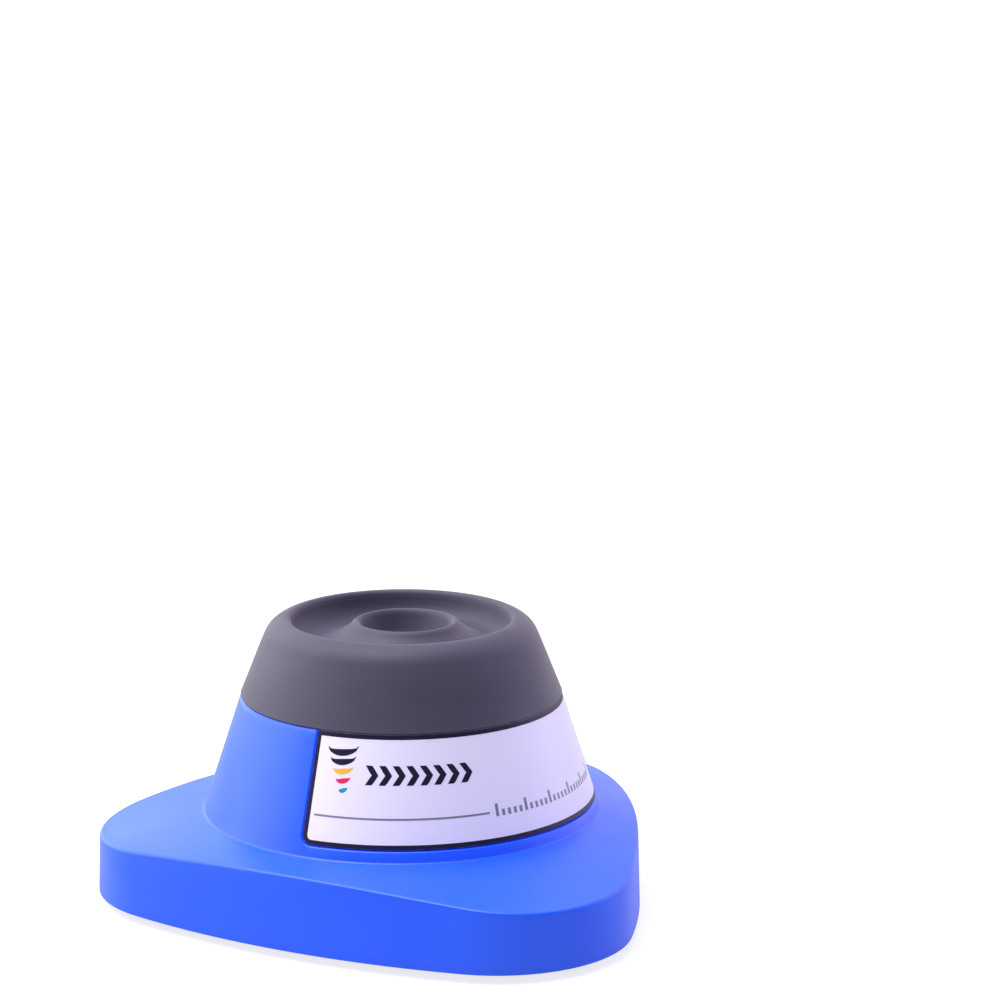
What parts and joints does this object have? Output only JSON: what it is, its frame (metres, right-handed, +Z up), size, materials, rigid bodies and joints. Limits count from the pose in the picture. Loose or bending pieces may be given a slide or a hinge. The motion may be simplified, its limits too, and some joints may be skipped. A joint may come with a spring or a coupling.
{
  "type": "vortex mixer",
  "caption": "Small touch-operated vortex mixer: three-lobed base, tapered body, rubber boot with a cup that orbits when a tube is pressed down into it.",
  "frame": {"origin": "bottom centre of the whole object, on the surface under the feet", "axes": "+Z up along the motor's axis; the front lobe and the label face -Y, the power socket faces +Y; the object is symmetric about the YZ plane apart from the label and small inner parts. The motor's axis stands 8 mm behind the origin."},
  "size_m": [0.126, 0.123, 0.0645],
  "materials": {
    "blue_shell": "satin moulded, saturated mid blue",
    "label_film": "printed film, white with a dark border",
    "black_moulding": "fine moulded texture, black",
    "foot_rubber": "matte black",
    "grey_silicone": "smooth matte silicone, warm dark grey",
    "steel": "bright machined",
    "spring_steel": "drawn wire",
    "zinc_plate": "zinc plated steel",
    "dark_iron": "dark, dull",
    "nylon": "natural off-white",
    "copper": "bare or lacquered copper",
    "brass": "turned",
    "board_green": "solder mask, green",
    "red_plastic": "red",
    "black_plastic": "black insulation"
  },
  "bodies": {
    "base": {"housing": "blue_shell", "label": "label_film", "base_cover": "black_moulding", "switch_body": "black_moulding", "dc_inlet": "black_moulding", "driver_chip": "black_moulding", "capacitor": "black_moulding", "foot_front": "foot_rubber", "foot_rear_left": "foot_rubber", "foot_rear_right": "foot_rubber", "boot_skirt": "grey_silicone", "base_screw_front": "steel", "base_screw_rear_left": "steel", "base_screw_rear_right": "steel", "guide_post_front": "steel", "guide_post_left": "steel", "guide_post_right": "steel", "board_screw_left": "steel", "board_screw_right": "steel", "dc_pin": "steel", "spring_front": "spring_steel", "spring_left": "spring_steel", "spring_right": "spring_steel", "ballast_plate": "dark_iron", "motor_header": "nylon", "circuit_board": "board_green", "lead_red": "red_plastic", "lead_black": "black_plastic"},
    "carriage": {"motor_can": "zinc_plate", "motor_end_bell": "nylon", "motor_bush_top": "brass", "motor_bush_bottom": "brass", "magnet_left": "dark_iron", "magnet_right": "dark_iron", "brush_left": "copper", "brush_right": "copper", "terminal_left": "copper", "terminal_right": "copper", "motor_mount": "black_moulding", "motor_screw_left": "steel", "motor_screw_right": "steel"},
    "rotor": {"motor_shaft": "steel", "commutator": "copper", "armature_core": "dark_iron", "coil_1": "copper", "coil_2": "copper", "coil_3": "copper", "eccentric_hub": "brass", "grub_screw": "steel", "bearing_inner_race": "steel", "pin_washer": "steel", "pin_screw": "steel"},
    "orbiting_cup": {"bearing_outer_race": "steel", "ball_cage": "steel", "cup_carrier": "nylon", "retaining_ring": "steel", "cup_head": "grey_silicone"},
    "button": {"switch_button": "red_plastic"}
  },
  "joints": [
    {"name": "press", "type": "slide", "parent": "base", "child": "carriage", "axis": [0, 0, -1], "range_m": [0, 0.002], "stiffness_N_per_m": 2500, "springref_m": -0.004, "deforming": ["spring_front", "spring_left", "spring_right"]},
    {"name": "spin", "type": "hinge", "parent": "carriage", "child": "rotor", "pos_m": [0, 0.008, 0.038], "axis": [0, 0, 1], "continuous": true},
    {"name": "orbit", "type": "hinge", "parent": "rotor", "child": "orbiting_cup", "pos_m": [0, 0.006, 0.0458], "axis": [0, 0, 1], "continuous": true},
    {"name": "button_press", "type": "slide", "parent": "base", "child": "button", "axis": [0, 0, -1], "range_m": [0, 0.0013]}
  ],
  "couplings": [
    {"joint": "orbit", "follows": "spin", "ratio": -1},
    {"joint": "button_press", "follows": "press", "ratio": 0.6}
  ]
}
